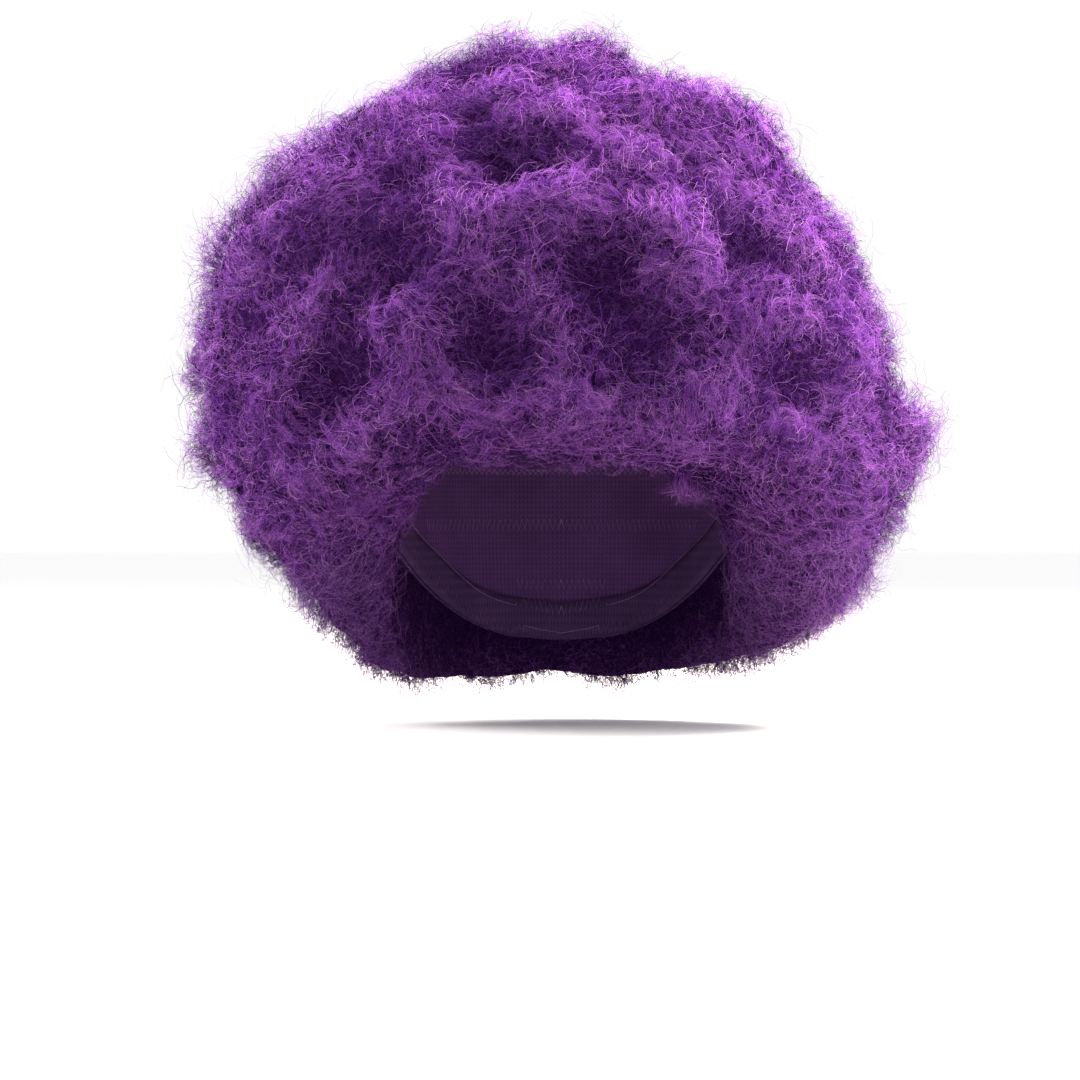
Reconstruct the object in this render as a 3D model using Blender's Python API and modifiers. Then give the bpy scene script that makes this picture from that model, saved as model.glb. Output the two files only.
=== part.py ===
"""Afro wig: a stretch cap with an elastic edge band, and a full ball of frizzy hair sewn on the cap.

Blender 4.5, metres, +Z up. The wearer faces -Y, and +X is on the right of the picture.
The origin is where the inside of the wig sits on the crown of the head.
"""

import math
import random

import bmesh
import bpy
from mathutils import Vector

# The head that the wig is made for
HEAD_BREADTH = 0.154
HEAD_LENGTH = 0.196
CROWN_DEPTH = 0.090  # from the crown down to the widest level of the head
NAPE_TAPER = 0.200  # half height of the ellipse that the head follows below that level

# The cap and its edge band
BAND_WALL = 0.0014
BAND_WIDTH = 0.018
CAP_WALL = 0.0014
CAP_DEPTH = 0.168  # from the crown to the lowest point of the edge, at the nape
SEAT_GAP = 0.0004  # between pieces that are sewn to each other

# The hair: how far it stands off the head, and how low it hangs
PILE_TOP = 0.107
PILE_SIDE = 0.087
PILE_FRONT = 0.060
PILE_BACK = 0.062
HEM_DROP = 0.189  # from the crown to the lowest hair, behind the left ear
HEM_ROUND = 0.012  # how far the hem's soft underside bulges
BALL_CENTRE_DROP = 0.050  # the level where the upper and lower halves of the ball meet
BALL_REACH_SHARE = 1.19  # the lower half would end this many hem drops under the crown

# The locks that make up the outside
LOCK_COUNT = 130
LOCK_RADIUS = 0.034
LOCK_HEIGHT = 0.015
LOCK_LEAN = 0.004
LOCK_SINK = 0.013  # how far the ground between the locks lies under the outline
LOCK_SPREAD_SHARE = 0.3  # by which locks differ in size
LOCK_CREASE = 5  # the higher, the sharper the creases between locks
LOCK_SEED = 11

SLOPE_STEP = 3  # degrees to either side, between which the slope of the cap's edge is taken

# How finely each surface is divided
COLUMNS = 72
DOME_RINGS = 8
BAND_RINGS = 2
OVERHANG_RINGS = 3
HEM_RINGS = 4
OUTER_RINGS = 36

# The edge of the cap. Azimuth runs from the forehead, 0, to the nape, 180, the same on both sides.
# The drop is a share of CAP_DEPTH.
RIM_COLUMNS = ("azimuth", "drop")
RIM = (
    (0, 0.390),
    (24, 0.395),
    (44, 0.475),
    (60, 0.610),
    (76, 0.675),
    (96, 0.690),
    (118, 0.800),
    (144, 0.940),
    (180, 1.000),
)

# The lowest line of the hair, as shares of HEM_DROP on the picture's left and right.
HEM_COLUMNS = ("azimuth", "left", "right")
HEM = (
    (0, 0.440, 0.440),
    (22, 0.450, 0.455),
    (38, 0.500, 0.505),
    (50, 0.590, 0.580),
    (62, 0.690, 0.680),
    (78, 0.790, 0.770),
    (96, 0.905, 0.885),
    (116, 0.985, 0.930),
    (142, 1.000, 0.970),
    (180, 0.985, 0.985),
)

# Level sections of the hair's outline. The drop is a share of the hair's whole height, from its top.
# The others are shares of the half width (left, right) and of the half depth (front, back) of the ball.
SECTION_COLUMNS = ("drop", "left", "right", "front", "back")
SECTIONS = (
    (0.041, 0.35, 0.24, 0.32, 0.34),
    (0.087, 0.52, 0.52, 0.51, 0.54),
    (0.148, 0.71, 0.62, 0.66, 0.71),
    (0.209, 0.87, 0.70, 0.78, 0.83),
    (0.301, 0.95, 0.81, 0.90, 0.95),
    (0.393, 1.02, 0.88, 0.97, 1.01),
    (0.515, 1.00, 0.95, 0.99, 1.03),
    (0.638, 0.98, 0.99, 0.92, 1.00),
    (0.760, 0.87, 0.94, 0.80, 0.94),
    (0.852, 0.73, 0.84, 0.69, 0.86),
    (0.913, 0.62, 0.73, 0.61, 0.78),
    (0.974, 0.53, 0.60, 0.53, 0.68),
)

# Tufts that stand out of the ball in the picture. The height and the radius are shares of a lock's.
# Azimuth is negative on the picture's left; the drop is as in SECTIONS.
TUFT_COLUMNS = ("azimuth", "drop", "height", "radius")
TUFTS = (
    (-70, 0.012, 1.15, 0.85),
    (40, 0.004, 1.15, 0.85),
    (51, 0.108, 1.15, 0.90),
    (-7, 0.285, 1.20, 0.75),
    (21, 0.332, 1.25, 0.85),
    (-21, 0.313, 1.15, 0.70),
    (-25, 0.465, 1.20, 0.85),
    (-2, 0.535, 1.20, 0.80),
    (-16, 0.560, 1.15, 0.70),
    (20, 0.585, 1.35, 0.95),
    (39, 0.640, 1.30, 0.85),
    (-60, 0.330, 1.20, 0.90),
    (-88, 0.500, 1.30, 0.80),
    (-84, 0.640, 1.20, 0.80),
    (86, 0.600, 1.35, 0.80),
    (58, 0.700, 1.30, 0.85),
)

# Dark hollows between the locks, with the depth and the radius as shares of a lock's height and radius.
HOLLOW_COLUMNS = ("azimuth", "drop", "depth", "radius")
HOLLOWS = (
    (-12, 0.205, 0.60, 0.75),
    (-30, 0.355, 0.75, 0.75),
    (5, 0.365, 0.90, 0.75),
    (34, 0.345, 0.50, 0.80),
    (12, 0.470, 0.85, 0.80),
    (-11, 0.475, 0.70, 0.70),
    (-40, 0.520, 0.70, 0.90),
    (44, 0.540, 0.60, 0.80),
    (-6, 0.620, 0.60, 0.70),
    (-26, 0.650, 0.80, 0.85),
    (33, 0.720, 0.80, 0.80),
)

HAIR_HALF_WIDTH = HEAD_BREADTH / 2 + PILE_SIDE
HAIR_HALF_DEPTH_FRONT = HEAD_LENGTH / 2 + PILE_FRONT
HAIR_HALF_DEPTH_BACK = HEAD_LENGTH / 2 + PILE_BACK
HAIR_HEIGHT = PILE_TOP + HEM_DROP
BALL_UPPER = PILE_TOP + BALL_CENTRE_DROP
BALL_LOWER = HEM_DROP * BALL_REACH_SHARE - BALL_CENTRE_DROP
BALL_MIDDLE = Vector((0, 0, -BALL_CENTRE_DROP))

# How far each surface lies off the inside of the band, which is as wide and as long as the head
CAP_INSIDE = BAND_WALL + SEAT_GAP
CAP_OUTSIDE = CAP_INSIDE + CAP_WALL
HAIR_INSIDE = CAP_OUTSIDE + SEAT_GAP

CAP_RINGS = DOME_RINGS + BAND_RINGS
INNER_RINGS = CAP_RINGS + OVERHANG_RINGS
HAIR_RINGS = OUTER_RINGS + HEM_RINGS + INNER_RINGS

HAIR_COLOUR = (0.115, 0.028, 0.235, 1.0)
CAP_COLOUR = (0.030, 0.010, 0.055, 1.0)
BAND_COLOUR = (0.020, 0.008, 0.036, 1.0)


def smooth_between(rows, at, column):
    """Catmull-Rom value of a table's column at a value of its first column, flat past both ends."""
    keys = [row[0] for row in rows]
    if at <= keys[0]:
        return rows[0][column]
    if at >= keys[-1]:
        return rows[-1][column]
    i = max(k for k in range(len(keys)) if keys[k] <= at)
    here, there = rows[i], rows[i + 1]
    before, after = rows[max(i - 1, 0)], rows[min(i + 2, len(rows) - 1)]
    span = there[0] - here[0]
    slope_here = (there[column] - before[column]) / (there[0] - before[0])
    slope_there = (after[column] - here[column]) / (after[0] - here[0])
    t = (at - here[0]) / span
    return (
        (2 * t**3 - 3 * t**2 + 1) * here[column]
        + (t**3 - 2 * t**2 + t) * span * slope_here
        + (3 * t**2 - 2 * t**3) * there[column]
        + (t**3 - t**2) * span * slope_there
    )


def blend(a, b, share):
    """The value that share of the way from a to b."""
    return a + (b - a) * share


def side_of(azimuth, left, right):
    """Left or right on the sides, and their mean on the middle line, for an azimuth of -pi to pi."""
    return blend(left, right, 0.5 + 0.5 * math.sin(azimuth))


def head_polar(drop):
    """Angle at the head's centre, from straight up, of a point of the cap this far below the crown."""
    if drop <= CROWN_DEPTH:
        return math.acos(1 - drop / CROWN_DEPTH)
    return math.acos(-(drop - CROWN_DEPTH) / NAPE_TAPER)


def head_point(azimuth, polar, off):
    """A point at a distance off the band's inside. The cap's inside meets the origin at the crown."""
    half_height = CROWN_DEPTH if polar <= math.pi / 2 else NAPE_TAPER
    return Vector(
        (
            (HEAD_BREADTH / 2 + off) * math.sin(polar) * math.sin(azimuth),
            -(HEAD_LENGTH / 2 + off) * math.sin(polar) * math.cos(azimuth),
            -CROWN_DEPTH + (half_height + off - CAP_INSIDE) * math.cos(polar),
        )
    )


def rim_drop(azimuth):
    """How far the cap's edge lies below the crown."""
    return CAP_DEPTH * smooth_between(RIM, math.degrees(abs(azimuth)), RIM_COLUMNS.index("drop"))


def hem_drop(azimuth):
    """How far the hair hangs below the crown."""
    at = math.degrees(abs(azimuth))
    left = smooth_between(HEM, at, HEM_COLUMNS.index("left"))
    right = smooth_between(HEM, at, HEM_COLUMNS.index("right"))
    return HEM_DROP * side_of(azimuth, left, right)


def band_top_drop(azimuth):
    """The band's upper edge, placed so that the band keeps its width where the rim slopes."""
    step = math.radians(SLOPE_STEP)
    a, b = (head_point(azimuth + s, head_polar(rim_drop(azimuth + s)), 0) for s in (-step, step))
    along = math.hypot(b.x - a.x, b.y - a.y)
    return rim_drop(azimuth) - BAND_WIDTH * math.hypot(1, (b.z - a.z) / along)


def cap_polar(azimuth, ring):
    """The head's polar angle of a ring of the cap: the dome, then the stretch behind the band."""
    top = head_polar(band_top_drop(azimuth))
    if ring <= DOME_RINGS:
        return top * ring / DOME_RINGS
    return blend(top, head_polar(rim_drop(azimuth)), (ring - DOME_RINGS) / BAND_RINGS)


def outline_reach(azimuth, height):
    """Horizontal distance from the middle line to the hair's outline, at a height above the crown."""
    drop = (PILE_TOP - height) / HAIR_HEIGHT
    left, right, front, back = (
        smooth_between(SECTION_FULLNESS, drop, SECTION_COLUMNS.index(name))
        for name in ("left", "right", "front", "back")
    )
    side = (left if azimuth < 0 else right) * HAIR_HALF_WIDTH
    ahead = abs(azimuth) < math.pi / 2
    deep = front * HAIR_HALF_DEPTH_FRONT if ahead else back * HAIR_HALF_DEPTH_BACK
    return ball_sine(height) / math.hypot(math.sin(azimuth) / side, math.cos(azimuth) / deep)


def ball_polar(height):
    """The ball's own polar angle at a height above the crown."""
    up = height + BALL_CENTRE_DROP
    return math.acos(max(-1.0, min(1.0, up / (BALL_UPPER if up > 0 else BALL_LOWER))))


def ball_sine(height):
    """How wide a plain ball is at that height, as a share of its full width."""
    return math.sin(ball_polar(height))


def fullness_of(row):
    """A section's shares, divided by the width that a plain ball has at that level."""
    plain = ball_sine(PILE_TOP - row[0] * HAIR_HEIGHT)
    return (row[0], *(share / plain for share in row[1:]))


SECTION_FULLNESS = tuple(fullness_of(row) for row in SECTIONS)


def outer_point(azimuth, height):
    """A point of the hair's ground surface, from which the locks rise to the outline."""
    reach = outline_reach(azimuth, height)
    point = Vector((reach * math.sin(azimuth), -reach * math.cos(azimuth), height))
    inwards = (BALL_MIDDLE - point).normalized()
    return point + inwards * LOCK_SINK


def spot_on_ground(row):
    """The point of the ground surface that a tuft's or a hollow's azimuth and drop give."""
    return outer_point(math.radians(row["azimuth"]), PILE_TOP - row["drop"] * HAIR_HEIGHT)


def inner_point(azimuth, ring):
    """A point of the hair's inside, from the hem up to the crown, with the cap's rings past its edge."""
    if ring >= OVERHANG_RINGS:
        return head_point(azimuth, cap_polar(azimuth, INNER_RINGS - ring), HAIR_INSIDE)
    hem_polar = head_polar(hem_drop(azimuth) - HEM_ROUND)
    polar = blend(hem_polar, head_polar(rim_drop(azimuth)), ring / OVERHANG_RINGS)
    return head_point(azimuth, polar, HAIR_INSIDE)


def hair_point(azimuth, ring):
    """A point of the hair: outside from the top down, under the hem, and up inside to the crown."""
    hem_end = HEM_ROUND - hem_drop(azimuth)
    if ring <= OUTER_RINGS:
        polar = ball_polar(hem_end) * ring / OUTER_RINGS
        up = (BALL_UPPER if polar < math.pi / 2 else BALL_LOWER) * math.cos(polar)
        return outer_point(azimuth, up - BALL_CENTRE_DROP)
    ring -= OUTER_RINGS
    if ring >= HEM_RINGS:
        return inner_point(azimuth, ring - HEM_RINGS)
    across = ring / HEM_RINGS
    point = outer_point(azimuth, hem_end).lerp(inner_point(azimuth, 0), across)
    point.z -= HEM_ROUND * math.sqrt(1 - (2 * across - 1) ** 2)
    return point


def wrapped_sphere(name, rings, place, first=0, last=None):
    """A UV sphere primitive with its rings first to last kept and moved to place(azimuth, ring).

    The triangles take the shorter diagonals, so that sheets one over the other keep their gap.
    """
    last = rings if last is None else last
    bm = bmesh.new()
    bmesh.ops.create_uvsphere(bm, u_segments=COLUMNS, v_segments=rings, radius=1.0)
    ring_layer = bm.verts.layers.int.new("ring")
    for v in bm.verts:
        v[ring_layer] = round(math.acos(max(-1.0, min(1.0, v.co.z))) / math.pi * rings)
    outside = [v for v in bm.verts if not first <= v[ring_layer] <= last]
    bmesh.ops.delete(bm, geom=outside, context="VERTS")
    for v in bm.verts:
        v.co = place(math.atan2(v.co.x, -v.co.y), v[ring_layer])
    mesh = bpy.data.meshes.new(name)
    bm.to_mesh(mesh)
    bm.free()
    mesh.shade_smooth()
    obj = bpy.data.objects.new(name, mesh)
    WIG.objects.link(obj)
    obj.modifiers.new("triangles", "TRIANGULATE").quad_method = "SHORTEST_DIAGONAL"
    return obj


def plain_material(name, colour, roughness):
    """A Principled material with one colour."""
    material = bpy.data.materials.new(name)
    material.use_nodes = True
    shader = material.node_tree.nodes["Principled BSDF"]
    shader.inputs["Base Color"].default_value = colour
    shader.inputs["Roughness"].default_value = roughness
    shader.inputs["Metallic"].default_value = 0.0
    return material


def add_wall(obj, thickness):
    """Gives an open sheet its wall, growing towards the head."""
    wall = obj.modifiers.new("wall", "SOLIDIFY")
    wall.thickness = thickness
    wall.offset = -1.0
    wall.use_even_offset = True


def build_band():
    """The elastic band sewn inside the cap's edge."""

    def place(azimuth, ring):
        return head_point(azimuth, cap_polar(azimuth, ring), BAND_WALL)

    band = wrapped_sphere("edge_band", CAP_RINGS + 1, place, DOME_RINGS, CAP_RINGS)
    add_wall(band, BAND_WALL)
    band.data.materials.append(plain_material("band_elastic", BAND_COLOUR, 0.7))


def build_cap():
    """The stretch cap, from the crown to its edge."""

    def place(azimuth, ring):
        return head_point(azimuth, cap_polar(azimuth, ring), CAP_OUTSIDE)

    cap = wrapped_sphere("cap", CAP_RINGS + 1, place, 0, CAP_RINGS)
    add_wall(cap, CAP_WALL)
    cap.data.materials.append(plain_material("cap_knit", CAP_COLOUR, 0.85))


def lock_list(points, normals):
    """Every lock as (centre, radius, height, lean): an even spread over the ball, then the named tufts."""
    chance = random.Random(LOCK_SEED)
    golden = math.pi * (3 - math.sqrt(5))

    def lock_at(direction, radius, height):
        i = max(range(len(points)), key=lambda k: (points[k] - BALL_MIDDLE).normalized().dot(direction))
        turn = chance.uniform(0, 2 * math.pi)
        across = Vector((math.cos(turn), math.sin(turn), 0)).cross(normals[i])
        return points[i], radius, height, across.normalized() * LOCK_LEAN

    locks = []
    for i in range(LOCK_COUNT):
        up = 1 - 2 * (i + 0.5) / LOCK_COUNT
        level = math.sqrt(1 - up**2)
        direction = Vector((level * math.cos(golden * i), level * math.sin(golden * i), up))
        radius = LOCK_RADIUS * chance.uniform(1 - LOCK_SPREAD_SHARE, 1 + LOCK_SPREAD_SHARE)
        height = LOCK_HEIGHT * chance.uniform(1 - LOCK_SPREAD_SHARE, 1)
        locks.append(lock_at(direction, radius, height))
    for row in TUFTS:
        tuft = dict(zip(TUFT_COLUMNS, row))
        direction = (spot_on_ground(tuft) - BALL_MIDDLE).normalized()
        locks.append(lock_at(direction, LOCK_RADIUS * tuft["radius"], LOCK_HEIGHT * tuft["height"]))
    return locks


def hollow_list():
    """Every hollow as (centre, radius, depth)."""
    hollows = (dict(zip(HOLLOW_COLUMNS, row)) for row in HOLLOWS)
    return [
        (spot_on_ground(hollow), LOCK_RADIUS * hollow["radius"], LOCK_HEIGHT * hollow["depth"])
        for hollow in hollows
    ]


def nearness(point, centre, radius):
    """1 at the centre and 0 from the radius on."""
    return max(0.0, 1 - (point - centre).length_squared / radius**2)


def lock_shift(point, normal, locks, hollows):
    """How far a point of the ground moves: out and over with the highest lock, less the hollows."""
    total = 0.0
    leaning = Vector()
    for centre, radius, height, lean in locks:
        near = nearness(point, centre, radius)
        weight = (near * height) ** LOCK_CREASE
        total += weight
        leaning += lean * near * weight
    dent = sum(depth * nearness(point, centre, radius) for centre, radius, depth in hollows)
    if not total:
        return -normal * dent
    return normal * (total ** (1 / LOCK_CREASE) - dent) + leaning / total


def build_hair():
    """The ball of hair: a hollow wall round the cap, its outside made of locks fused side by side."""
    hair = wrapped_sphere("hair", HAIR_RINGS, hair_point)
    bm = bmesh.new()
    bm.from_mesh(hair.data)
    bm.normal_update()
    ring_layer = bm.verts.layers.int["ring"]
    raised = [v for v in bm.verts if v[ring_layer] < OUTER_RINGS + HEM_RINGS]
    points = [v.co.copy() for v in raised]
    normals = [v.normal.copy() for v in raised]
    locks = lock_list(points, normals)
    hollows = hollow_list()
    for v, point, normal in zip(raised, points, normals):
        into_hem = max(0, v[ring_layer] - OUTER_RINGS) / HEM_RINGS
        v.co = point + lock_shift(point, normal, locks, hollows) * (1 - into_hem)
    bm.to_mesh(hair.data)
    bm.free()
    hair.data.materials.append(plain_material("hair_fibre", HAIR_COLOUR, 0.6))


for leftover in list(bpy.data.objects):
    bpy.data.objects.remove(leftover)
WIG = bpy.data.collections.new("afro_wig")
bpy.context.scene.collection.children.link(WIG)

build_band()
build_cap()
build_hair()
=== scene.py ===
"""The look of a full, round afro wig: a dense ground of crimped fibre, with frizzy strands all over it.

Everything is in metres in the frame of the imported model. The front is towards -Y and +Z is up.
"""

import logging
import math
from dataclasses import dataclass
from enum import Enum
from typing import Callable, Self

import bmesh
import bpy
import numpy as np
from mathutils.bvhtree import BVHTree
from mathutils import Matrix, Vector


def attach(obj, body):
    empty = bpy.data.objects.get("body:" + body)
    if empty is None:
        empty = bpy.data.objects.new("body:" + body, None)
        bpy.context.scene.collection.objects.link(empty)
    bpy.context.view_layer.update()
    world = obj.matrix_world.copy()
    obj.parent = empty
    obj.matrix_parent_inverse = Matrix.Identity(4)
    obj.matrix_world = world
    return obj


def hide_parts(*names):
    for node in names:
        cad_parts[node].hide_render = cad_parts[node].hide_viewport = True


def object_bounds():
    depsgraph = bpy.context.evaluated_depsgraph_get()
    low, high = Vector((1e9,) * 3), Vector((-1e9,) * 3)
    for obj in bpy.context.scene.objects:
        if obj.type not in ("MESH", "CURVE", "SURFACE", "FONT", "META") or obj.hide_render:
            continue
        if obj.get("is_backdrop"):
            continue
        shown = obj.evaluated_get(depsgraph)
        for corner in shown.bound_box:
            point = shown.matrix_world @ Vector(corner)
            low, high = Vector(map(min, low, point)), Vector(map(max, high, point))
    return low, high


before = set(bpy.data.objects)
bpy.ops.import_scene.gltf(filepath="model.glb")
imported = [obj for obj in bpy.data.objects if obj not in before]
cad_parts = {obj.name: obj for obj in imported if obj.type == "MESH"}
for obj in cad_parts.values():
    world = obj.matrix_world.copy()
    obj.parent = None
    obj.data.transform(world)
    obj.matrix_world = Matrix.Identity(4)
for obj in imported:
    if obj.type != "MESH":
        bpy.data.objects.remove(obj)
CAD_LOWEST, CAD_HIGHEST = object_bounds()

LOG = logging.getLogger("afro_wig")
BODY = "root"
BAKE_UV = "OFBake"
SEED = 7
MARGIN = 0.015
TONE_COLUMNS = 10
MIX_FIRST, MIX_SECOND, MIX_COLOUR = 6, 7, 2
TINY = 1e-9
TURN = 2 * math.pi
UP = np.array([0.0, 0.0, 1.0])

Array = np.ndarray
Colour = tuple[float, float, float]
Pair = tuple[float, float]
Triple = tuple[float, float, float]
Socket = bpy.types.NodeSocket


def unit(vectors: Array) -> Array:
    """Every row divided by its length."""
    return vectors / np.maximum(np.linalg.norm(vectors, axis=-1, keepdims=True), TINY)


def smooth_step(low: float, high: float, values: Array) -> Array:
    """0 below low, 1 above high and a smooth rise between."""
    t = np.clip((values - low) / (high - low), 0.0, 1.0)
    return t * t * (3 - 2 * t)


def azimuth_of(points: Array) -> Array:
    """The angle of each point round the head, 0 in front and growing towards +X."""
    return np.arctan2(points[..., 0], -points[..., 1])


def corners_of(node: bpy.types.Object) -> Array:
    """The mesh's points as rows."""
    corners = np.empty(len(node.data.vertices) * 3)
    node.data.vertices.foreach_get("co", corners)
    return corners.reshape(-1, 3)


@dataclass(frozen=True)
class HeadForm:
    """The head that the cap fits, as two half ellipsoids that meet at the widest level."""

    half_breadth: float = 0.077
    half_length: float = 0.098
    widest_drop: float = 0.090
    rise: float = 0.0882
    fall: float = 0.1982
    height_weight: float = 0.5

    def distance_off(self, points: Array) -> Array:
        """Roughly how far points lie outside the head.

        Args:
            points: places as rows of x, y and z.

        Returns:
            One distance for each point, below zero inside the head.
        """
        up = points[..., 2] + self.widest_drop
        height = np.where(up > 0, self.rise, self.fall)
        breadth, length = np.full_like(up, self.half_breadth), np.full_like(up, self.half_length)
        axes = np.stack([breadth, length, height], axis=-1)
        centred = np.stack([points[..., 0], points[..., 1], up], axis=-1)
        share = np.linalg.norm(centred / axes, axis=-1)
        return np.linalg.norm(centred, axis=-1) * (1 - 1 / np.maximum(share, TINY))

    def pushed_out(self, points: Array, clearance: float) -> Array:
        """The points with those nearer to the head than the clearance moved out to it.

        Args:
            points: places as rows of x, y and z.
            clearance: the least distance off the head.

        Returns:
            The moved points.
        """
        lack = np.maximum(clearance - self.distance_off(points), 0.0)
        weights = np.array([1.0, 1.0, self.height_weight])
        away = points * weights + UP * (self.widest_drop * self.height_weight)
        return points + unit(away) * lack[..., None]

    def point(self, azimuth: Array, polar: Array) -> Array:
        """Places on the head.

        Args:
            azimuth: the angles round the head, 0 in front.
            polar: the angles from the crown.

        Returns:
            Rows of x, y and z.
        """
        height = np.where(polar <= math.pi / 2, self.rise, self.fall)
        x = self.half_breadth * np.sin(polar) * np.sin(azimuth)
        y = -self.half_length * np.sin(polar) * np.cos(azimuth)
        return np.stack([x, y, -self.widest_drop + height * np.cos(polar)], axis=-1)


HEAD = HeadForm()


class Edge:
    """The lowest or highest line of a mesh, all round the head."""

    def __init__(self, corners: Array, highest: bool = False, bins: int = 72) -> None:
        """Finds the outermost corner in each direction.

        Args:
            corners: the mesh's points.
            highest: whether the upper edge is wanted, not the lower.
            bins: how many directions are told apart.
        """
        step = TURN / bins
        place = np.round(azimuth_of(corners) / step).astype(int) % bins
        level = np.full(bins, -np.inf if highest else np.inf)
        (np.maximum if highest else np.minimum).at(level, place, corners[:, 2])
        filled = np.isfinite(level)
        self.azimuths = (np.arange(bins) * step)[filled]
        self.levels = level[filled]

    def at(self, azimuth: Array) -> Array:
        """The edge's level in each direction."""
        return np.interp(azimuth, self.azimuths, self.levels, period=TURN)

    def rounding(self, azimuth: Array, reach: float = math.radians(16), samples: int = 9) -> Array:
        """How far the edge has to rise for its corners to be rounded off.

        Args:
            azimuth: the directions.
            reach: how far to each side the edge is averaged.
            samples: how many places are averaged.

        Returns:
            The rise in each direction.
        """
        near = [self.at(azimuth + turn) for turn in np.linspace(-reach, reach, samples)]
        return np.mean(near, axis=0) - self.at(azimuth)


class Swirl:
    """A smooth field of directions that turns over a few centimetres."""

    SPREAD = (0.6, 1.5)

    def __init__(self, rng: np.random.Generator, wavelength: float, waves: int = 14) -> None:
        """Draws the waves that the field is a sum of.

        Args:
            rng: where the random numbers come from.
            wavelength: how far apart like directions lie.
            waves: how many waves are added up.
        """
        reach = TURN / wavelength * rng.uniform(*self.SPREAD, (waves, 1))
        self.waves = unit(rng.normal(size=(waves, 3))) * reach
        self.phases = rng.uniform(0, TURN, waves)
        self.sides = rng.normal(size=(waves, 3))

    def directions(self, points: Array) -> Array:
        """A unit vector at each point."""
        return unit(np.sin(points @ self.waves.T + self.phases) @ self.sides)

    def values(self, points: Array) -> Array:
        """A value of about -1 to 1 at each point."""
        total = np.sin(points @ self.waves.T + self.phases) @ self.sides[:, 0]
        return total / math.sqrt(len(self.phases))


@dataclass(frozen=True)
class Clumps:
    """Where the fibre gathers into wide and small tufts."""

    wide: Swirl
    small: Swirl
    wide_share: float = 0.7
    small_share: float = 0.5

    def values(self, points: Array) -> Array:
        """A value of about -1 in the gaps to 1 in the tufts."""
        return self.wide_share * self.wide.values(points) + self.small_share * self.small.values(points)


@dataclass(frozen=True)
class Roots:
    """Where strands grow from: the places, the directions straight out and the surface's relief."""

    points: Array
    normals: Array
    relief: Array


class Ground:
    """The hair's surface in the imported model, which the strands grow from."""

    WELD_DIGITS = 5

    def __init__(self, node: bpy.types.Object) -> None:
        """Welds the node's mesh and measures it.

        Args:
            node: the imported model's hair.
        """
        mesh = node.data
        mesh.calc_loop_triangles()
        corners = corners_of(node)
        faces = np.empty(len(mesh.loop_triangles) * 3, np.int64)
        mesh.loop_triangles.foreach_get("vertices", faces)
        grid = np.round(corners, self.WELD_DIGITS)
        _, first, same = np.unique(grid, axis=0, return_index=True, return_inverse=True)
        self.points = corners[first]
        self.faces = same.reshape(-1)[faces].reshape(-1, 3)
        sides = self.points[self.faces]
        self.face_normals = np.cross(sides[:, 1] - sides[:, 0], sides[:, 2] - sides[:, 0])
        total = np.zeros_like(self.points)
        for corner in range(3):
            np.add.at(total, self.faces[:, corner], self.face_normals)
        self.normals = unit(total)
        self.relief = self._relief()
        self.hem = Edge(self.points)

    def _relief(self, rounds: int = 7, full: float = 0.006) -> Array:
        """How far each point stands out of the smoothed surface.

        Args:
            rounds: how often the surface is smoothed.
            full: the height that counts as 1.

        Returns:
            -1 in a deep hollow to 1 on a high lock.
        """
        ends = np.concatenate([self.faces[:, [0, 1]], self.faces[:, [1, 2]], self.faces[:, [2, 0]]])
        count = np.bincount(ends[:, 0], minlength=len(self.points))[:, None]
        soft = self.points
        for _ in range(rounds):
            total = np.zeros_like(soft)
            np.add.at(total, ends[:, 0], soft[ends[:, 1]])
            soft = total / np.maximum(count, 1)
        height = np.einsum("ij,ij->i", self.points - soft, self.normals)
        return np.clip((height - np.median(height)) / full, -1.0, 1.0)

    def scatter(self, rng: np.random.Generator, count: int, growth: Callable[[Array], Array]) -> Roots:
        """Random places on the surface.

        Args:
            rng: where the random numbers come from.
            count: how many places.
            growth: how dense they are, at any rows of points.

        Returns:
            The places, with what the strands need to know of each.
        """
        middles = self.points[self.faces].mean(axis=1)
        weight = np.linalg.norm(self.face_normals, axis=1) * growth(middles)
        chosen = self.faces[rng.choice(len(self.faces), size=count, p=weight / weight.sum())]
        a, b = rng.uniform(size=(2, count, 1))
        flip = a + b > 1
        a, b = np.where(flip, 1 - a, a), np.where(flip, 1 - b, b)
        shares = np.concatenate([1 - a - b, a, b], axis=1)
        points, normals, relief = (
            np.einsum("ij,ij...->i...", shares, values[chosen])
            for values in (self.points, self.normals, self.relief)
        )
        return Roots(points, unit(normals), relief)


class Region(Enum):
    """The parts of the hair that are separate pieces."""

    CROWN = "crown"
    FRONT = "front"
    LEFT = "left"
    RIGHT = "right"
    BACK = "back"

    @staticmethod
    def of(points: Array, front: float = 50.0, back: float = 125.0, crown: float = 0.045) -> Array:
        """The index of each point's region.

        Args:
            points: places as rows of x, y and z.
            front: how many degrees to each side the front reaches.
            back: how many degrees from the front the back starts.
            crown: the level that the crown starts at.

        Returns:
            Indices into the regions' order.
        """
        around = np.degrees(azimuth_of(points))
        order = list(Region)
        found = np.full(len(points), order.index(Region.BACK))
        found[np.abs(around) < front] = order.index(Region.FRONT)
        found[(around >= front) & (around < back)] = order.index(Region.RIGHT)
        found[(around <= -front) & (around > -back)] = order.index(Region.LEFT)
        found[points[:, 2] > crown] = order.index(Region.CROWN)
        return found


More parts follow.
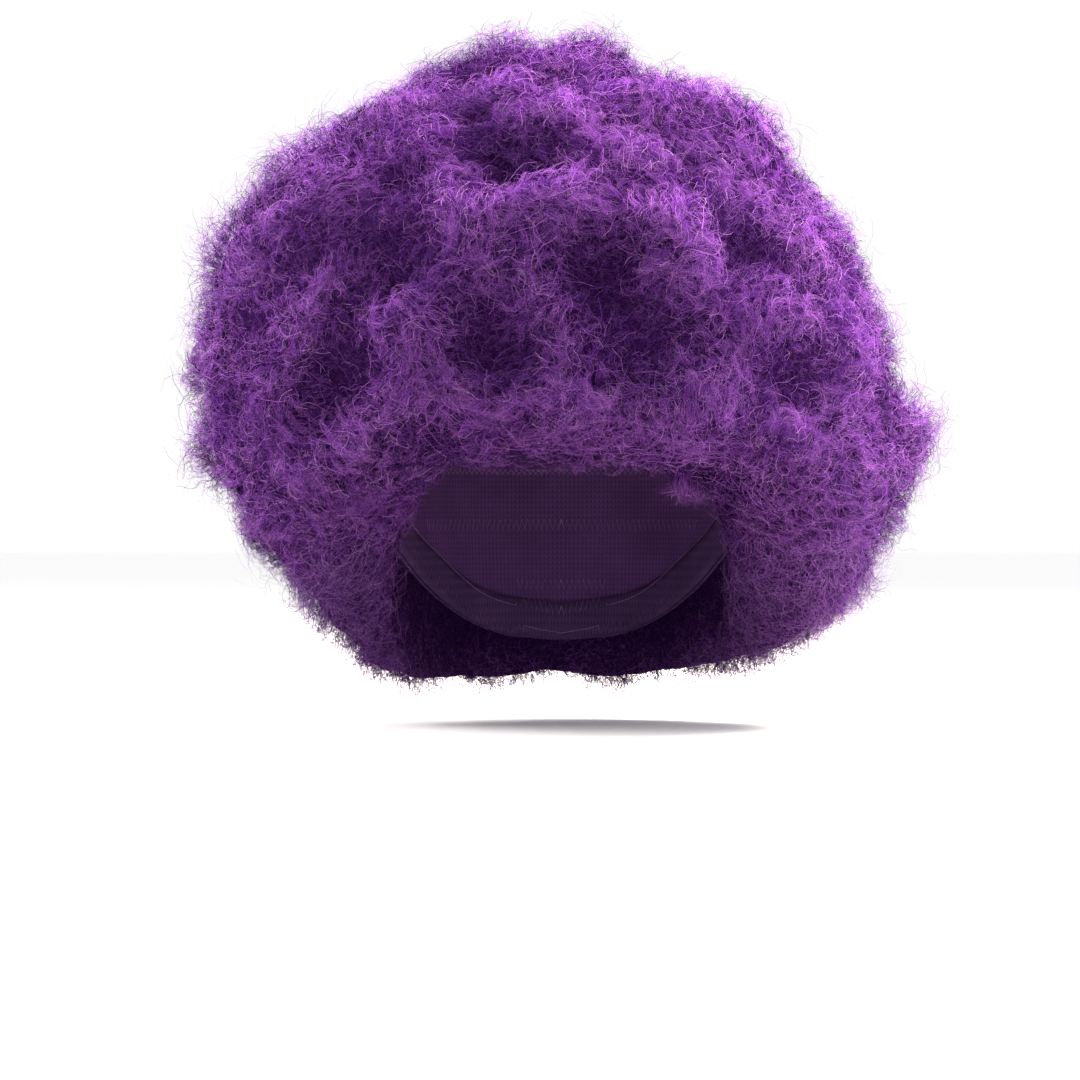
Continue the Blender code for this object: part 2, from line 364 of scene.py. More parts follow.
@dataclass(frozen=True)
class Ribbons:
    """A mesh of flat ribbons: points, faces' corners, each face corner's place in the map, and normals."""

    corners: Array
    faces: Array
    places: Array
    shading: Array

    @staticmethod
    def along(path: Array, facing: Array, half: Array) -> tuple[Array, Array]:
        """Flat ribbons along lines.

        Args:
            path: the middle lines, as ribbon, point and coordinate.
            facing: the directions that the ribbons' flat sides look in.
            half: half the width at each point.

        Returns:
            The points and the faces' corners.
        """
        count, points = path.shape[:2]
        along = unit(np.gradient(path, axis=1))
        across = unit(np.cross(along, np.broadcast_to(facing, along.shape)))
        corners = np.stack([path - across * half[..., None], path + across * half[..., None]], axis=2)
        base = (np.arange(count) * points * 2)[:, None] + np.arange(points - 1)[None] * 2
        faces = np.stack([base, base + 1, base + 3, base + 2], axis=-1)
        return corners.reshape(-1, 3), faces.reshape(-1, 4)

    @classmethod
    def joined(cls, parts: list[Self]) -> Self:
        """All the parts as one mesh.

        Args:
            parts: the meshes.

        Returns:
            The joined mesh.
        """
        first = np.cumsum([0] + [len(part.corners) for part in parts])
        faces = np.concatenate([part.faces + start for part, start in zip(parts, first)])
        return cls(
            np.concatenate([part.corners for part in parts]), faces,
            np.concatenate([part.places for part in parts]), np.concatenate([part.shading for part in parts]),
        )

    def taken(self, keep: Array) -> Self:
        """The mesh with only some of its ribbons, which are all of one length.

        Args:
            keep: whether each ribbon is taken.

        Returns:
            The smaller mesh.
        """
        each = len(self.corners) // len(keep)
        shift = (np.arange(keep.sum()) - np.flatnonzero(keep)) * each
        faces = self.faces.reshape(len(keep), -1, 4)[keep] + shift[:, None, None]
        corners, places, shading = (
            rows.reshape(len(keep), -1, rows.shape[-1])[keep].reshape(-1, rows.shape[-1])
            for rows in (self.corners, self.places, self.shading)
        )
        return type(self)(corners, faces.reshape(-1, 4), places, shading)

    def piece(self, name: str, slot: str, material: bpy.types.Material) -> None:
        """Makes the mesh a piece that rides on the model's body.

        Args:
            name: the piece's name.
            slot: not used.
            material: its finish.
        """
        mesh = bpy.data.meshes.new(name)
        mesh.vertices.add(len(self.corners))
        mesh.vertices.foreach_set("co", self.corners.astype(np.float32).ravel())
        mesh.loops.add(self.faces.size)
        mesh.loops.foreach_set("vertex_index", self.faces.astype(np.int32).ravel())
        mesh.polygons.add(len(self.faces))
        mesh.polygons.foreach_set("loop_start", np.arange(0, self.faces.size, 4, dtype=np.int32))
        mesh.update(calc_edges=True)
        layer = mesh.uv_layers.new(name=BAKE_UV)
        layer.uv.foreach_set("vector", self.places.astype(np.float32).ravel())
        mesh.shade_smooth()
        mesh.normals_split_custom_set_from_vertices(self.shading.astype(np.float32))
        piece = bpy.data.objects.new(name, mesh)
        bpy.context.scene.collection.objects.link(piece)
        placed(piece, material)


def placed(piece: bpy.types.Object, material: bpy.types.Material) -> None:
    """Gives a finished piece its material and its body, and reports it.

    Args:
        piece: the object.
        material: its finish.
    """
    piece.data.materials.append(material)
    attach(piece, BODY)
    LOG.info("%s: %d triangles", piece.name, sum(len(face.vertices) - 2 for face in piece.data.polygons))


@dataclass(frozen=True)
class StrandSize:
    """The sizes of one kind of strand. Pairs are the least and the most."""

    count: int
    length: Pair
    width: Pair
    bend: Pair
    lift: Pair
    reach: Pair
    tone: Pair
    segments: int = 6
    root_depth: float = 0.006
    crimp: float = 0.35
    crimp_pitch: float = 0.013
    tip_width: float = 0.35
    looseness: float = 0.7
    droop: float = 0.0
    clearance: float = 0.0042
    tone_spread: float = 0.10
    facing_spread: float = 0.9
    bundle: bool = False


@dataclass(frozen=True)
class Outline:
    """Where the hair's soft edge runs below, and how much fuller some places are."""

    hem: Edge
    rise_in_front: Pair = (0.001, 0.011)
    hang_in_front: Pair = (0.001, 0.005)
    hang_behind: Pair = (0.004, 0.019)
    front_ends: Pair = (0.75, 1.25)
    full_place: Triple = (-0.150, -0.020, 0.020)
    full_size: float = 0.060
    full_share: float = 0.7

    def fullness(self, points: Array) -> Array:
        """How much further than elsewhere the strands of each point stand out."""
        away = np.linalg.norm(points - np.array(self.full_place), axis=-1) / self.full_size
        return 1 + self.full_share * np.exp(-away * away)

    def lifted(self, path: Array, share: Array) -> Array:
        """The points, with those far below the lower edge drawn up to it.

        Args:
            path: the points, as strand, point and coordinate.
            share: how far each strand may hang, from 0 to 1.

        Returns:
            The moved points.
        """
        azimuth = azimuth_of(path)
        back = smooth_step(*self.front_ends, np.abs(azimuth))
        limits = ((self.rise_in_front, 1 - share), (self.hang_in_front, share), (self.hang_behind, share))
        high, front, rear = (least + (most - least) * part[:, None] for (least, most), part in limits)
        hang = front + (rear - front) * back
        level = self.hem.at(azimuth) + high * (1 - back)
        below = np.maximum(level - path[..., 2], 0.0)
        rise = below - hang * np.tanh(below / hang)
        return path + rise[..., None] * UP


@dataclass(frozen=True)
class Strands:
    """Flat, crimped ribbons, one for each root, that follow shared fields."""

    size: StrandSize
    rng: np.random.Generator
    flow: Swirl
    clumps: Clumps
    outline: Outline
    turned_share: float = 0.3
    relief_length: float = 0.2
    cross_pitch: float = 1.17
    clump_reach: float = 0.5
    relief_reach: float = 0.3
    least_reach: float = 0.001
    sunk_share: float = 0.3
    taper: float = 2.2
    soft_normal: float = 0.7
    middle_tone: float = 0.5
    # Painted shade and light: strands in hollows and between tufts get darker tones, those on high locks and
    # tufts lighter.
    relief_light_and_shade: float = 0.55
    clump_light_and_shade: float = 0.27
    field_shift: float = 0.05
    column_edge: float = 0.02
    map_edge: float = 0.01
    map_width: float = 0.02

    def _between(self, pair: Pair, count: int) -> Array:
        """Random values between two, one for each strand."""
        return self.rng.uniform(*pair, count)

    def _side(self, roots: Roots, along: Array) -> Array:
        """The direction that each strand bends to, across the direction that it starts in.

        Args:
            roots: where the strands grow from.
            along: the directions that they start in.

        Returns:
            One direction for each strand.
        """
        loose = unit(self.rng.normal(size=along.shape))
        turn = np.where(self.rng.uniform(size=(len(along), 1)) < self.turned_share, -1.0, 1.0)
        side = self.flow.directions(roots.points) * turn + self.size.looseness * loose
        return unit(side - along * np.einsum("ij,ij->i", side, along)[:, None])

    def paths(self, roots: Roots) -> Array:
        """The middle lines of the strands.

        Args:
            roots: where they grow from.

        Returns:
            An array of strand, point and coordinate.
        """
        size, count = self.size, len(roots.points)
        lift = self._between(size.lift, count)[:, None]
        loose = unit(self.rng.normal(size=(count, 3)))
        flat = unit(self.flow.directions(roots.points + self.field_shift) + size.looseness * loose)
        start = unit(roots.normals * lift + flat * (1 - lift) - UP * size.droop)
        side = self._side(roots, start)
        third = np.cross(start, side)
        length = self._between(size.length, count) * (1 + self.relief_length * roots.relief)
        bend = self._between(size.bend, count)
        steps = np.linspace(0, 1, size.segments + 1)
        wave = TURN * steps[None] * length[:, None] / size.crimp_pitch
        shift = self.rng.uniform(0, TURN, (2, count, 1))
        turn = bend[:, None] * steps[None] + size.crimp * np.sin(wave + shift[0])
        out_of_plane = size.crimp * np.sin(self.cross_pitch * wave + shift[1])
        parts = ((np.cos(turn), start), (np.sin(turn), side), (out_of_plane, third))
        along = unit(sum(share[..., None] * way[:, None] for share, way in parts))
        stride = (length / size.segments)[:, None, None]
        base = roots.points - roots.normals * size.root_depth
        path = base[:, None] + np.cumsum(along[:, :-1], axis=1) * stride
        return self._held_in(np.concatenate([base[:, None], path], axis=1), roots)

    def _held_in(self, path: Array, roots: Roots) -> Array:
        """The paths, bent back where they would stand out too far or run into the head.

        Args:
            path: the middle lines.
            roots: where they grow from.

        Returns:
            The changed middle lines.
        """
        size, count = self.size, len(path)
        gathered = 1 + self.clump_reach * self.clumps.values(roots.points) + self.relief_reach * roots.relief
        most = self._between(size.reach, count) * gathered * self.outline.fullness(roots.points)
        most = np.maximum(most, self.least_reach)[:, None] + size.root_depth
        height = np.einsum("ijk,ik->ij", path - path[:, :1], roots.normals)
        kept = most * np.tanh(np.maximum(height, 0) / most) + np.minimum(height, 0) * self.sunk_share
        path = path + roots.normals[:, None] * (kept - height)[..., None]
        path = self.outline.lifted(path, self.rng.uniform(size=count))
        path = HEAD.pushed_out(path, size.clearance)
        low, high = np.array(CAD_LOWEST), np.array(CAD_HIGHEST)
        beyond = np.maximum(path - high, 0.0) - np.maximum(low - path, 0.0)
        return path - beyond + MARGIN * np.tanh(beyond / MARGIN)

    def ribbons(self, roots: Roots) -> Ribbons:
        """The strands, shaded as part of the mass of hair that they stand on.

        Args:
            roots: where they grow from.

        Returns:
            Their mesh. Its map holds the strand's tone, and the share of its length.
        """
        size, path = self.size, self.paths(roots)
        count, points = path.shape[:2]
        facing = roots.normals[:, None] + size.facing_spread * unit(self.rng.normal(size=(count, 1, 3)))
        steps = np.linspace(0, 1, points)
        taper = np.minimum(1.0, size.tip_width + (1 - size.tip_width) * self.taper * (1 - steps))
        half = self._between(size.width, count)[:, None] * taper[None] / 2
        shading = unit(self.soft_normal * roots.normals + (1 - self.soft_normal) * unit(facing[:, 0]))
        shading = np.broadcast_to(shading[:, None], (count, 2 * points, 3)).reshape(-1, 3)
        return Ribbons(*Ribbons.along(path, facing, half), self._places(roots, steps), shading)

    def _places(self, roots: Roots, steps: Array) -> Array:
        """Each face corner's tone, which carries painted shade and light, and share of the strand's length.

        Args:
            roots: where the strands grow from.
            steps: the shares of the length at the strand's points.

        Returns:
            Rows of two values from 0 to 1, four for each face.
        """
        low, high = self.size.tone
        count = len(roots.points)
        # Painted shade in hollows and between tufts, painted light on locks and tufts, then a random spread.
        tone = self.middle_tone + self.relief_light_and_shade * roots.relief
        tone = tone + self.clump_light_and_shade * self.clumps.values(roots.points)
        tone = tone + self.rng.normal(0, self.size.tone_spread, count)
        tone = low + (high - low) * np.clip(tone, 0, 1)
        if self.size.bundle:
            column = np.floor(tone * (TONE_COLUMNS - self.map_edge))
            left = (column + self.column_edge) / TONE_COLUMNS
            right = (column + (1 - self.column_edge)) / TONE_COLUMNS
        else:
            left = self.map_edge + (1 - 2 * self.map_edge - self.map_width) * tone
            right = left + self.map_width
        u = np.stack([left, right, right, left], -1)
        u = np.broadcast_to(u[:, None], (count, len(steps) - 1, 4))
        v = np.stack([steps[:-1], steps[:-1], steps[1:], steps[1:]], -1)
        v = np.broadcast_to(self.map_edge + (1 - 2 * self.map_edge) * v[None], u.shape)
        return np.stack([u, v], axis=-1).reshape(-1, 2)


@dataclass(frozen=True)
class Nodes:
    """A short way to add shader nodes to a tree."""

    tree: bpy.types.NodeTree

    def put(self, socket: Socket, value: object) -> None:
        """Links or sets an input.

        Args:
            socket: the input.
            value: an output to link, or a value. A colour needs no alpha.
        """
        if isinstance(value, Socket):
            self.tree.links.new(value, socket)
        else:
            socket.default_value = (*value, 1.0) if socket.type == "RGBA" else value

    def add(self, kind: str, *values: object, **inputs: object) -> bpy.types.Node:
        """A new node with its inputs set or linked.

        Args:
            kind: the node's type name.
            values: values or outputs for the first inputs.
            inputs: values or outputs by input name. Other names are the node's own settings.

        Returns:
            The node.
        """
        node = self.tree.nodes.new(kind)
        settings = {name: value for name, value in inputs.items() if hasattr(node, name)}
        for name, value in settings.items():
            setattr(node, name, value)
        named = [(name, value) for name, value in inputs.items() if name not in settings]
        for place, value in [*enumerate(values), *named]:
            self.put(node.inputs[place], value)
        return node

    def dress(self, **inputs: object) -> None:
        """Sets or links inputs of the tree's Principled shader by name, with _ for a space."""
        for name, value in inputs.items():
            self.put(self.tree.nodes["Principled BSDF"].inputs[name.replace("_", " ")], value)

    def math(self, operation: str, a: object, b: object = 0.0, clamp: bool = False) -> Socket:
        """The output of a math node."""
        return self.add("ShaderNodeMath", a, b, operation=operation, use_clamp=clamp).outputs[0]

    def plus(self, a: object, b: object, clamp: bool = False) -> Socket:
        """The sum."""
        return self.math("ADD", a, b, clamp)

    def minus(self, a: object, b: object, clamp: bool = False) -> Socket:
        """The first less the second."""
        return self.math("SUBTRACT", a, b, clamp)

    def times(self, a: object, b: object, clamp: bool = False) -> Socket:
        """The product."""
        return self.math("MULTIPLY", a, b, clamp)

    def mix(self, share: object, a: object, b: object) -> Socket:
        """The colour that a mix node puts out.

        Args:
            share: how much of the second colour there is.
            a: the first colour.
            b: the second colour.

        Returns:
            The colour output.
        """
        node = self.add("ShaderNodeMix", share, data_type="RGBA")
        self.put(node.inputs[MIX_FIRST], a)
        self.put(node.inputs[MIX_SECOND], b)
        return node.outputs[MIX_COLOUR]

    def ramp(self, value: Socket, colours: tuple[Colour, ...]) -> Socket:
        """The colour that an even ramp gives a value.

        Args:
            value: the ramp's input.
            colours: its colours, from 0 to 1.

        Returns:
            The colour output.
        """
        node = self.add("ShaderNodeValToRGB", value)
        marks = node.color_ramp.elements
        while len(marks) < len(colours):
            marks.new(0.5)
        for i, (mark, colour) in enumerate(zip(marks, colours)):
            mark.position = i / (len(colours) - 1)
            mark.color = (*colour, 1.0)
        return node.outputs[0]

    def noise(self, place: Socket, scale: object, detail: float = 2.0, roughness: float = 0.5) -> Socket:
        """The value of a noise texture."""
        noise = self.add("ShaderNodeTexNoise", Vector=place, Scale=scale, Detail=detail, Roughness=roughness)
        return noise.outputs[0]

    def bump(self, height: Socket, strength: float, distance: float) -> Socket:
        """The normal that a height gives."""
        return self.add("ShaderNodeBump", Height=height, Strength=strength, Distance=distance).outputs[0]

    def place(self) -> Socket:
        """The Object coordinates."""
        return self.add("ShaderNodeTexCoord").outputs["Object"]

    def moved(self, place: Socket, by: Triple, turn: Triple = (0.0, 0.0, 0.0)) -> Socket:
        """The place, turned and moved."""
        return self.add("ShaderNodeMapping", Vector=place, Location=by, Rotation=turn).outputs[0]

    def group(self, tree: bpy.types.NodeTree, **inputs: object) -> Socket:
        """What a node group puts out with these inputs."""
        return self.add("ShaderNodeGroup", node_tree=tree, **inputs).outputs[0]


def start_material(name: str) -> tuple[bpy.types.Material, Nodes]:
    """A material with only its Principled shader and output, and its nodes."""
    material = bpy.data.materials.new(name)
    material.use_nodes = True
    return material, Nodes(material.node_tree)


def start_group(name: str, lengths: tuple[str, ...], output: str) -> tuple[Nodes, bpy.types.NodeOutputs]:
    """A new node group with the input Vector.

    Args:
        name: the group's name.
        lengths: the names of its other inputs.
        output: the name of its output.

    Returns:
        The group's nodes and its inputs inside.
    """
    group = bpy.data.node_groups.new(name, "ShaderNodeTree")
    group.interface.new_socket("Vector", in_out="INPUT", socket_type="NodeSocketVector")
    for length in lengths:
        group.interface.new_socket(length, in_out="INPUT", socket_type="NodeSocketFloat")
    group.interface.new_socket(output, in_out="OUTPUT", socket_type="NodeSocketFloat")
    return Nodes(group), group.nodes.new("NodeGroupInput").outputs


def fibre_lines_group() -> bpy.types.NodeTree:
    """A node group that draws thin curling lines side by side, as matted fibre shows them.

    Returns:
        The group, with the inputs Vector, Scale, Lines and Thickness and the output Fibre.
    """
    nodes, given = start_group("curling_fibre_lines", ("Scale", "Lines", "Thickness"), "Fibre")
    fibre = None
    # Three layers of lines, each turned, moved and scaled its own way.
    for turn, scale in ((0.0, 1.0), (1.1, 1.31), (2.3, 0.83)):
        moved = nodes.moved(given["Vector"], (turn, 2 * turn, 3 * turn), (turn, 0.7 * turn, 1.9 * turn))
        size = nodes.times(given["Scale"], scale)
        wave = nodes.math("FRACT", nodes.times(nodes.noise(moved, size, 1.0, 0.3), given["Lines"]))
        near = nodes.math("ABSOLUTE", nodes.minus(wave, 0.5))
        line = nodes.minus(1.0, nodes.math("DIVIDE", near, given["Thickness"]), clamp=True)
        patch = nodes.noise(moved, nodes.times(size, 0.6))
        line = nodes.times(line, nodes.times(patch, 1.7), clamp=True)
        fibre = line if fibre is None else nodes.math("MAXIMUM", fibre, line)
    nodes.add("NodeGroupOutput", fibre)
    return nodes.tree


def knit_group() -> bpy.types.NodeTree:
    """A node group that draws small loops in rows round the head.

    Returns:
        The group, with the inputs Vector, Row and Loop, both lengths, and the output Height.
    """
    nodes, given = start_group("knit_loops", ("Row", "Loop"), "Height")
    place = nodes.add("ShaderNodeSeparateXYZ", given["Vector"]).outputs
    around = nodes.math("ARCTAN2", place[0], place[1])
    columns = nodes.math("DIVIDE", nodes.times(around, HEAD.half_length), given["Loop"])
    rows = nodes.plus(nodes.math("DIVIDE", place[2], given["Row"]), nodes.math("PINGPONG", columns, 0.5))
    bands, ribs = (
        nodes.math("ABSOLUTE", nodes.math("SINE", nodes.times(count, math.pi))) for count in (rows, columns)
    )
    nodes.add("NodeGroupOutput", nodes.times(nodes.plus(bands, ribs), 0.5))
    return nodes.tree


@dataclass(frozen=True)
class StrandFinish:
    """Dyed synthetic fibre, with a painted shade that darkens it towards the root and a painted glow that
    makes it paler and pinker towards its end.
    """

    name: str
    dark: Colour = (0.017, 0.003, 0.050)
    middle: Colour = (0.072, 0.0120, 0.166)
    light: Colour = (0.190, 0.046, 0.345)
    # The colour and share of a painted glow towards the strand's end, then how fast a painted shade at the
    # root fades out.
    tip_glow: Colour = (0.550, 0.240, 0.600)
    tip_glow_share: float = 0.5
    root_shade_fade: float = 2.2
    roughness: float = 0.55
    fade: float = 0.0
    fibres: tuple[tuple[float, float, float, float], ...] = ()
    fibre_half: float = 0.075
    film: float = 0.28
    film_shade: float = 0.5
    tip_power: float = 2.0
    least_glow: float = 0.25
    narrowing: float = 0.5

    def material(self) -> bpy.types.Material:
        """The finish as a material.

        Returns:
            A material that reads the strand's tone and share of length from its map.
        """
        material, nodes = start_material(self.name)
        uv = nodes.add("ShaderNodeUVMap", uv_map=BAKE_UV)
        tone, along, _ = nodes.add("ShaderNodeSeparateXYZ", uv.outputs[0]).outputs
        across = None
        if self.fibres:
            column = nodes.times(tone, float(TONE_COLUMNS))
            across = nodes.math("FRACT", column)
            tone = nodes.math("DIVIDE", nodes.math("FLOOR", column), TONE_COLUMNS - 1.0)
        # The tone that picks the body colour carries painted shade and light: darker in hollows and in gaps
        # between tufts, lighter on locks and tufts.
        body = nodes.ramp(tone, (self.dark, self.middle, self.light))
        # Painted shade: darker towards the root, deep in the hair.
        root = nodes.mix(nodes.minus(1.0, nodes.times(along, self.root_shade_fade), clamp=True), body, self.dark)
        # Painted glow: paler and pinker towards the end, more so on lighter strands, as if light shone through
        # the fibre.
        pale = nodes.times(nodes.math("POWER", along, self.tip_power), self.tip_glow_share)
        pale = nodes.times(pale, nodes.plus(tone, self.least_glow), clamp=True)
        colour = nodes.mix(pale, root, self.tip_glow)
        solid = nodes.minus(1.0, nodes.times(along, self.fade))
        if self.fibres:
            mask = self._fibre_mask(nodes, across, along, tone)
            # Between the fibres, a film in a darker mix of the body colour: painted shade among the fibres.
            colour = nodes.mix(mask, nodes.mix(self.film_shade, body, self.dark), colour)
            film = nodes.times(nodes.minus(1.0, along), self.film)
            solid = nodes.times(solid, nodes.math("MAXIMUM", mask, film))
        if self.fibres or self.fade:
            nodes.dress(Alpha=solid)
        nodes.dress(Base_Color=colour, Roughness=self.roughness, Specular_IOR_Level=0.0)
        return material

    def _fibre_mask(self, nodes: Nodes, across: Socket, along: Socket, tone: Socket) -> Socket:
        """Splits a ribbon into separate wavy fibres.

        Args:
            nodes: the material's nodes.
            across: the share of the ribbon's width.
            along: the share of its length.
            tone: its tone, which also sets how the fibres wave.

        Returns:
            1 on a fibre and 0 between.
        """
        nearest = None
        for middle, swing, waves, shift in self.fibres:
            phase = nodes.plus(nodes.times(along, waves), nodes.times(tone, shift))
            line = nodes.plus(nodes.times(nodes.math("SINE", phase), swing), middle)
            away = nodes.math("ABSOLUTE", nodes.minus(across, line))
            nearest = away if nearest is None else nodes.math("MINIMUM", nearest, away)
        half = nodes.times(nodes.minus(1.0, nodes.times(along, self.narrowing)), self.fibre_half)
        return nodes.minus(1.5, nodes.math("DIVIDE", nearest, half), clamp=True)


@dataclass(frozen=True)
class MatFinish:
    """The matted fibre under the strands: dark with painted shade, with finer lines of fibre over coarser
    ones, painted lighter on high relief and darker in the hollows.
    """

    name: str = "matted_fibre"
    # The first colour is painted shade, deep in the matted fibre and in its hollows; the third is painted
    # light on the fine lines of high relief.
    deep: Colour = (0.018, 0.003, 0.042)
    fibre: Colour = (0.072, 0.0135, 0.138)
    painted_light: Colour = (0.210, 0.075, 0.310)
    scale: float = 125.0
    fine: tuple[float, float, float, float] = (1.0, 9.0, 0.09, 0.0)
    coarse: tuple[float, float, float, float] = (1.8, 7.0, 0.20, 0.3)
    patch_scale: float = 28.0
    relief_light: float = 0.5
    patch_light: float = 0.9
    hollow_shade: float = 0.7
    coarse_height: float = 0.6
    bump_strength: float = 0.9
    bump_height: float = 0.0012
    roughness: float = 0.65

    def material(self) -> bpy.types.Material:
        """The finish as a material.

        Returns:
            A material that reads Object coordinates and the attribute relief.
        """
        material, nodes = start_material(self.name)
        place, group = nodes.place(), fibre_lines_group()
        fine, coarse = (
            nodes.group(
                group, Vector=nodes.moved(place, (shift, shift, shift)), Scale=self.scale * scale, Lines=lines,
                Thickness=thickness,
            )
            for scale, lines, thickness, shift in (self.fine, self.coarse)
        )
        relief = nodes.add("ShaderNodeAttribute", attribute_name="relief").outputs["Fac"]
        # Painted light and shade: the fine lines lighter on high relief and the hollows darkened, both varied
        # in random patches.
        patch = nodes.noise(place, self.patch_scale, 3.0, 0.55)
        lit, patched = nodes.times(relief, self.relief_light), nodes.times(patch, self.patch_light)
        light = nodes.plus(lit, patched, clamp=True)
        colour = nodes.mix(coarse, self.deep, self.fibre)
        colour = nodes.mix(nodes.times(fine, light), colour, self.painted_light)
        hollow = nodes.times(nodes.minus(1.0, light, clamp=True), self.hollow_shade)
        colour = nodes.mix(hollow, colour, self.deep)
        height = nodes.plus(fine, nodes.times(coarse, self.coarse_height))
        normal = nodes.bump(height, self.bump_strength, self.bump_height)
        nodes.dress(Base_Color=colour, Normal=normal, Roughness=self.roughness, Specular_IOR_Level=0.0)
        return material


@dataclass(frozen=True)
class KnitFinish:
    """A fine stretch knit: rows of small loops that run round the head, painted lighter on the loops' crowns
    and darker in the dips, as painted light and shade.
    """

    name: str
    colour: Colour = (0.045, 0.015, 0.080)
    raised_highlight: Colour = (0.165, 0.070, 0.250)
    row: float = 0.0024
    loop: float = 0.0020
    blotch_scale: float = 35.0
    fuzz_scale: float = 1400.0
    fuzz: float = 0.35
    least_blotch: float = 0.2
    bump_strength: float = 0.5
    bump_height: float = 0.0005
    roughness: float = 0.85

    def material(self) -> bpy.types.Material:
        """The finish as a material in Object coordinates.

        Returns:
            The material.
        """
        material, nodes = start_material(self.name)
        place = nodes.place()
        group = bpy.data.node_groups.get("knit_loops") or knit_group()
        knit = nodes.group(group, Vector=place, Row=self.row, Loop=self.loop)
        blotch = nodes.noise(place, self.blotch_scale, 4.0)
        height = nodes.plus(knit, nodes.times(nodes.noise(place, self.fuzz_scale), self.fuzz))
        # Painted light and shade: lighter on the loops' crowns and the fuzz, darker in the dips, more so in
        # random patches.
        share = nodes.times(height, nodes.plus(blotch, self.least_blotch), clamp=True)
        nodes.dress(
            Base_Color=nodes.mix(share, self.colour, self.raised_highlight), Roughness=self.roughness,
            Normal=nodes.bump(height, self.bump_strength, self.bump_height), Specular_IOR_Level=0.1,
        )
        return material


@dataclass(frozen=True)
class ThreadFinish:
    """Sewing thread: twisted, with painted light and shade that make it lighter and darker along its length.
    """

    name: str = "sewing_thread"
    dark: Colour = (0.160, 0.060, 0.240)
    light: Colour = (0.360, 0.190, 0.460)
    twist: float = 900.0
    bump_strength: float = 0.5
    bump_height: float = 0.0002
    roughness: float = 0.6

    def material(self) -> bpy.types.Material:
        """The finish as a material in Object coordinates.

        Returns:
            The material.
        """
        material, nodes = start_material(self.name)
        twist = nodes.noise(nodes.place(), self.twist)
        # Painted light and shade of the twist along the thread.
        nodes.dress(
            Base_Color=nodes.mix(twist, self.dark, self.light), Roughness=self.roughness,
            Normal=nodes.bump(twist, self.bump_strength, self.bump_height), Specular_IOR_Level=0.3,
        )
        return material


def select_only(obj: bpy.types.Object) -> None:
    """Makes this the one selected and active object."""
    bpy.ops.object.select_all(action="DESELECT")
    obj.select_set(True)
    bpy.context.view_layer.objects.active = obj


def quadded(obj: bpy.types.Object, weld: float = 0.0) -> None:
    """Joins pairs of the mesh's triangles into quads, and its near points before that.

    Args:
        obj: the object, which becomes the selected one.
        weld: how near the points are that are joined. 0 joins none.
    """
    select_only(obj)
    bpy.ops.object.mode_set(mode="EDIT")
    bpy.ops.mesh.select_all(action="SELECT")
    if weld:
        bpy.ops.mesh.remove_doubles(threshold=weld)
    bpy.ops.mesh.tris_convert_to_quads()
    bpy.ops.object.mode_set(mode="OBJECT")


def rounded(obj: bpy.types.Object) -> bpy.types.Modifier:
    """Adds one level of subdivision, the same in a render."""
    smooth = obj.modifiers.new("round", "SUBSURF")
    smooth.levels = smooth.render_levels = 1
    return smooth


def apply_all(obj: bpy.types.Object) -> None:
    """Applies every modifier of the object in order."""
    select_only(obj)
    for modifier in list(obj.modifiers):
        bpy.ops.object.modifier_apply(modifier=modifier.name)


@dataclass(frozen=True)
class HairCore:
    """The dense hair under the strands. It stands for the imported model's solid."""

    inset: float = 0.0045
    tuft_inset: float = 0.0030
    hem_rise: float = 0.030
    wall: Pair = (0.006, 0.022)
    lump: float = 0.0035
    lump_size: float = 0.011
    lump_middle: float = 0.6

    def build(self, ground: Ground, material: bpy.types.Material) -> None:
        """Makes the piece from the ground's surface.

        Args:
            ground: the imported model's hair surface.
            material: its finish.
        """
        outside = smooth_step(*self.wall, HEAD.distance_off(ground.points))[:, None]
        hem = ground.hem.at(azimuth_of(ground.points))
        low = (1 - smooth_step(0.0, self.hem_rise, ground.points[:, 2] - hem))[:, None]
        depth = self.inset + self.tuft_inset * (np.maximum(ground.relief, 0.0)[:, None] * (1 - low))
        points = ground.points - ground.normals * outside * depth + low * UP * (1 - outside) * self.inset
        mesh = bpy.data.meshes.new("hair_core")
        mesh.from_pydata(points.tolist(), [], ground.faces.tolist())
        relief = mesh.attributes.new("relief", "FLOAT", "POINT")
        relief.data.foreach_set("value", (0.5 + 0.5 * ground.relief).astype(np.float32))
        core = bpy.data.objects.new("hair_core", mesh)
        bpy.context.scene.collection.objects.link(core)
        group = core.vertex_groups.new(name="outside")
        weights = np.round(outside[:, 0], 1)
        for weight in np.unique(weights):
            group.add(np.flatnonzero(weights == weight).tolist(), float(weight), "REPLACE")
        quadded(core)
        rounded(core)
        clouds = bpy.data.textures.new("lumps", "CLOUDS")
        clouds.noise_scale = self.lump_size
        clouds.noise_depth = 2
        lumps = core.modifiers.new("lumps", "DISPLACE")
        lumps.texture = clouds
        lumps.texture_coords = "LOCAL"
        lumps.strength = self.lump
        lumps.mid_level = self.lump_middle
        lumps.vertex_group = group.name
        apply_all(core)
        core.data.shade_smooth()
        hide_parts("hair")
        placed(core, material)


